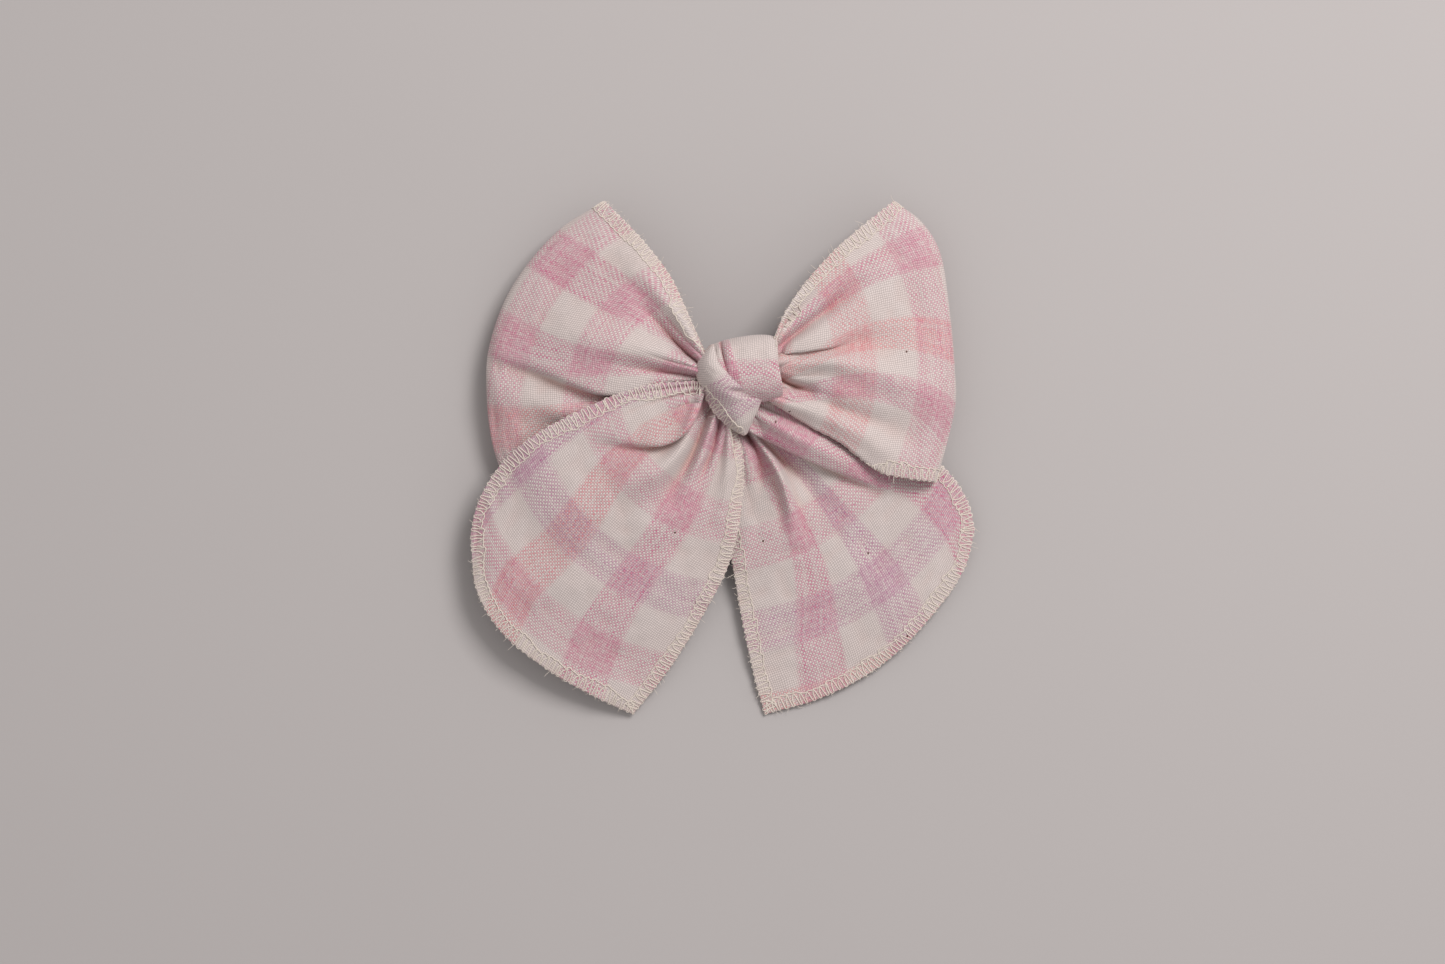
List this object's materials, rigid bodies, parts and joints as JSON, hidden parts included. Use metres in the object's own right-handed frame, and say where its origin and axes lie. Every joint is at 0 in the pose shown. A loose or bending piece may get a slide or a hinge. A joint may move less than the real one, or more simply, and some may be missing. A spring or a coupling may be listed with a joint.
{
  "type": "hair bow",
  "caption": "Hand-tied hair bow of plaid cotton with two loops, two rounded tails and overlocked edges, on a sprung steel alligator clip.",
  "frame": {"origin": "on the outer flat face of the clip's lower arm, behind the middle of the knot", "axes": "+Z out of the bow's front, +X across the bow towards the right loop, +Y up the bow away from the tails"},
  "size_m": [0.1034, 0.105, 0.0193],
  "materials": {
    "plaid_cotton": "plain-weave cotton, heathered pink and cream plaid",
    "edge_thread": "cream overlock thread",
    "clip_steel": "nickel-plated sheet steel",
    "spring_steel": "drawn spring wire",
    "clip_ribbon": "cream grosgrain ribbon",
    "glue": "set hot-melt glue"
  },
  "bodies": {
    "bow": {"left_loop": "plaid_cotton", "right_loop": "plaid_cotton", "left_tail": "plaid_cotton", "right_tail": "plaid_cotton", "knot_wrap": "plaid_cotton", "knot_core": "plaid_cotton", "knot_tuck": "plaid_cotton", "left_loop_top_thread": "edge_thread", "left_loop_bottom_thread": "edge_thread", "right_loop_top_thread": "edge_thread", "right_loop_bottom_thread": "edge_thread", "left_tail_edge_thread": "edge_thread", "right_tail_edge_thread": "edge_thread", "knot_tuck_thread": "edge_thread", "clip_upper_arm": "clip_steel", "clip_pivot_pin": "clip_steel", "clip_spring": "spring_steel", "clip_ribbon": "clip_ribbon", "glue_pad": "glue"},
    "jaw": {"clip_lower_arm": "clip_steel", "clip_spring_lower_leg": "spring_steel"}
  },
  "joints": [
    {"name": "jaw_hinge", "type": "hinge", "parent": "bow", "child": "jaw", "pos_m": [0.008, 0, 0.003], "axis": [0, -1, 0], "range_deg": [0, 20], "stiffness_Nm_per_rad": 0.03, "springref_deg": -28.65}
  ]
}
